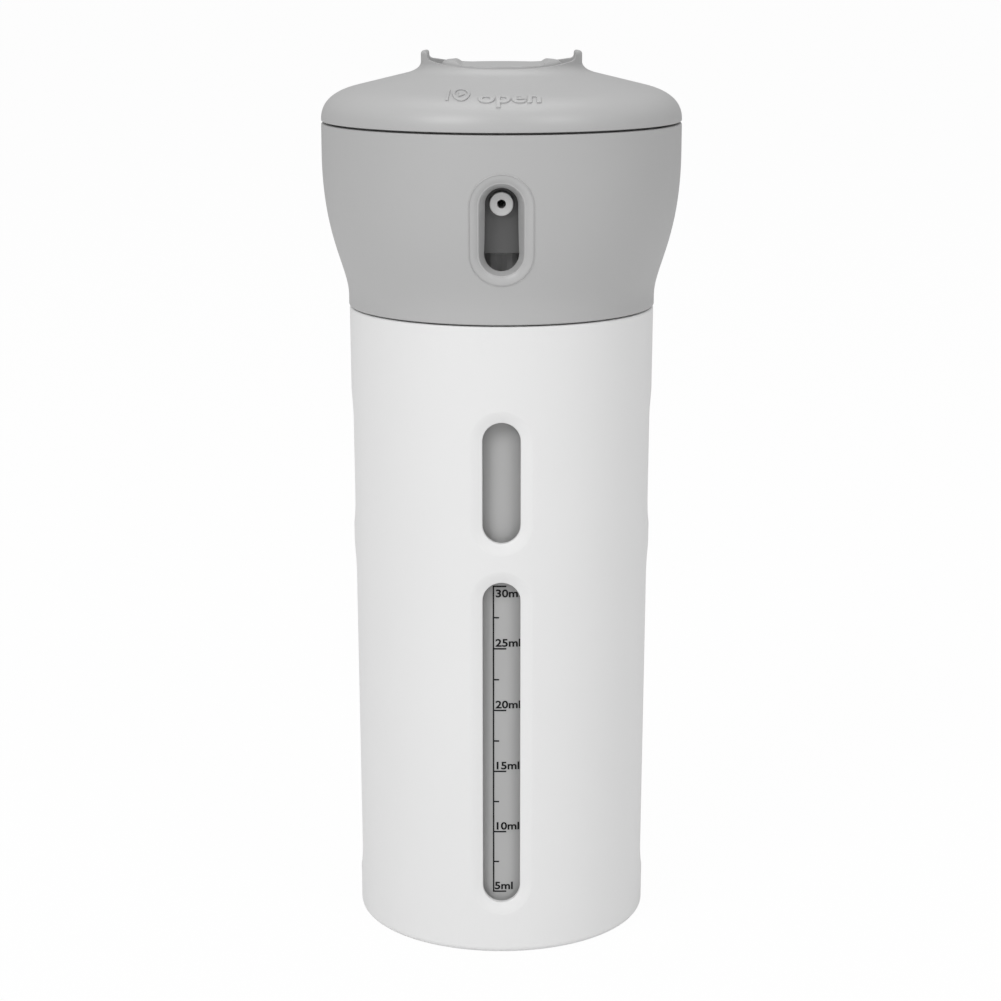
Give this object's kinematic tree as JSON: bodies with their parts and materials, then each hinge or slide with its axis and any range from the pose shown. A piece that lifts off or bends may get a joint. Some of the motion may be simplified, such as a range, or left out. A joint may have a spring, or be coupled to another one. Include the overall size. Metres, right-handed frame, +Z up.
{
  "type": "lotion dispenser bottle",
  "caption": "Travel lotion dispenser: a windowed cup of quarter-round pump bottles under a turning head with an outlet slot, a twist-off lid and a press button.",
  "frame": {"origin": "middle of the foot, on the ground", "axes": "+Z up along the cup's axis, -Y towards the outlet slot and the front window"},
  "size_m": [0.0678, 0.0678, 0.1689],
  "materials": {
    "cup_plastic": "satin",
    "head_plastic": "satin",
    "bottle_plastic": "frosted",
    "pump_plastic": "satin",
    "inner_plastic": "satin",
    "natural_plastic": "satin",
    "gasket_rubber": "matte",
    "spring_steel": "drawn"
  },
  "bodies": {
    "cup": {"shell": "cup_plastic", "rack": "cup_plastic", "bottle_1": "bottle_plastic", "gasket_1": "gasket_rubber", "closure_1": "inner_plastic", "pump_housing_1": "natural_plastic", "valve_ball_1": "spring_steel", "dip_tube_1": "natural_plastic", "pump_spring_1": "spring_steel", "bottle_2": "bottle_plastic", "gasket_2": "gasket_rubber", "closure_2": "inner_plastic", "pump_housing_2": "natural_plastic", "valve_ball_2": "spring_steel", "dip_tube_2": "natural_plastic", "pump_spring_2": "spring_steel", "bottle_3": "bottle_plastic", "gasket_3": "gasket_rubber", "closure_3": "inner_plastic", "pump_housing_3": "natural_plastic", "valve_ball_3": "spring_steel", "dip_tube_3": "natural_plastic", "pump_spring_3": "spring_steel", "bottle_4": "bottle_plastic", "gasket_4": "gasket_rubber", "closure_4": "inner_plastic", "pump_housing_4": "natural_plastic", "valve_ball_4": "spring_steel", "dip_tube_4": "natural_plastic", "pump_spring_4": "spring_steel"},
    "head": {"head": "head_plastic"},
    "lid": {"lid": "head_plastic", "button_spring": "spring_steel"},
    "button": {"button_cap": "head_plastic", "presser_arm": "head_plastic"},
    "pump_1": {"actuator_1": "inner_plastic", "nozzle_1": "pump_plastic", "stem_1": "natural_plastic", "piston_1": "natural_plastic"},
    "pump_2": {"actuator_2": "inner_plastic", "nozzle_2": "pump_plastic", "stem_2": "natural_plastic", "piston_2": "natural_plastic"},
    "pump_3": {"actuator_3": "inner_plastic", "nozzle_3": "pump_plastic", "stem_3": "natural_plastic", "piston_3": "natural_plastic"},
    "pump_4": {"actuator_4": "inner_plastic", "nozzle_4": "pump_plastic", "stem_4": "natural_plastic", "piston_4": "natural_plastic"}
  },
  "joints": [
    {"name": "head_turn", "type": "hinge", "parent": "cup", "child": "head", "pos_m": [0, 0, 0.1213], "axis": [0, 0, 1], "continuous": true},
    {"name": "lid_twist", "type": "hinge", "parent": "head", "child": "lid", "pos_m": [0, 0, 0.156], "axis": [0, 0, 1], "range_deg": [0, 25]},
    {"name": "button_press", "type": "slide", "parent": "lid", "child": "button", "axis": [0, 0, -1], "range_m": [0, 0.006], "stiffness_N_per_m": 200, "springref_m": -0.002, "deforming": ["button_spring"]},
    {"name": "pump_1_press", "type": "slide", "parent": "cup", "child": "pump_1", "axis": [0, 0, -1], "range_m": [0, 0.006], "stiffness_N_per_m": 200, "springref_m": -0.002, "deforming": ["pump_spring_1"]},
    {"name": "pump_2_press", "type": "slide", "parent": "cup", "child": "pump_2", "axis": [0, 0, -1], "range_m": [0, 0.006], "stiffness_N_per_m": 200, "springref_m": -0.002, "deforming": ["pump_spring_2"]},
    {"name": "pump_3_press", "type": "slide", "parent": "cup", "child": "pump_3", "axis": [0, 0, -1], "range_m": [0, 0.006], "stiffness_N_per_m": 200, "springref_m": -0.002, "deforming": ["pump_spring_3"]},
    {"name": "pump_4_press", "type": "slide", "parent": "cup", "child": "pump_4", "axis": [0, 0, -1], "range_m": [0, 0.006], "stiffness_N_per_m": 200, "springref_m": -0.002, "deforming": ["pump_spring_4"]}
  ],
  "couplings": [
    {"joint": "pump_1_press", "follows": "button_press", "ratio": 1}
  ]
}
